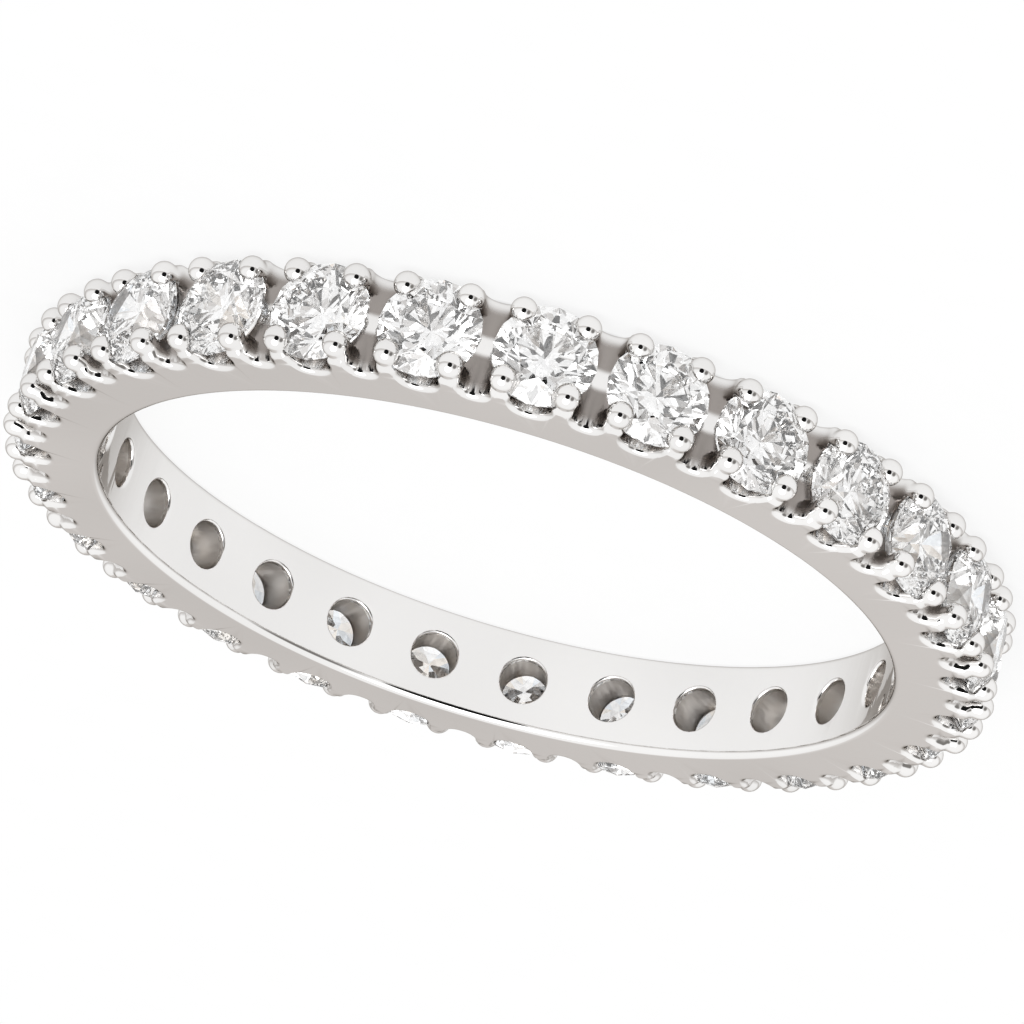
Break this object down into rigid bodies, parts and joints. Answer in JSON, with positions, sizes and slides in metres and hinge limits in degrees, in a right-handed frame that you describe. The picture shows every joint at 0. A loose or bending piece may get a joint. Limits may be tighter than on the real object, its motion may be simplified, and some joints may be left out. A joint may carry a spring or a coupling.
{
  "type": "eternity ring",
  "caption": "Full eternity ring: a slim white-gold band set all round with round brilliants in U-cut four-prong seats, lying on its side face.",
  "frame": {"origin": "on the ring's axis, in the plane of the side face that it lies on", "axes": "+Z along the ring's axis, out of the finger hole; +X through the middle of the first stone"},
  "size_m": [0.0216, 0.0216, 0.0022],
  "materials": {
    "white_gold": "rhodium-plated white gold, mirror polished, with bright cut edges and slightly darker cuts between the prongs",
    "diamond": "colourless round brilliant, polished facets, high sparkle"
  },
  "bodies": {
    "root": {"band": "white_gold", "stone_01": "diamond", "stone_02": "diamond", "stone_03": "diamond", "stone_04": "diamond", "stone_05": "diamond", "stone_06": "diamond", "stone_07": "diamond", "stone_08": "diamond", "stone_09": "diamond", "stone_10": "diamond", "stone_11": "diamond", "stone_12": "diamond", "stone_13": "diamond", "stone_14": "diamond", "stone_15": "diamond", "stone_16": "diamond", "stone_17": "diamond", "stone_18": "diamond", "stone_19": "diamond", "stone_20": "diamond", "stone_21": "diamond", "stone_22": "diamond", "stone_23": "diamond", "stone_24": "diamond", "stone_25": "diamond", "stone_26": "diamond", "stone_27": "diamond"}
  },
  "joints": []
}
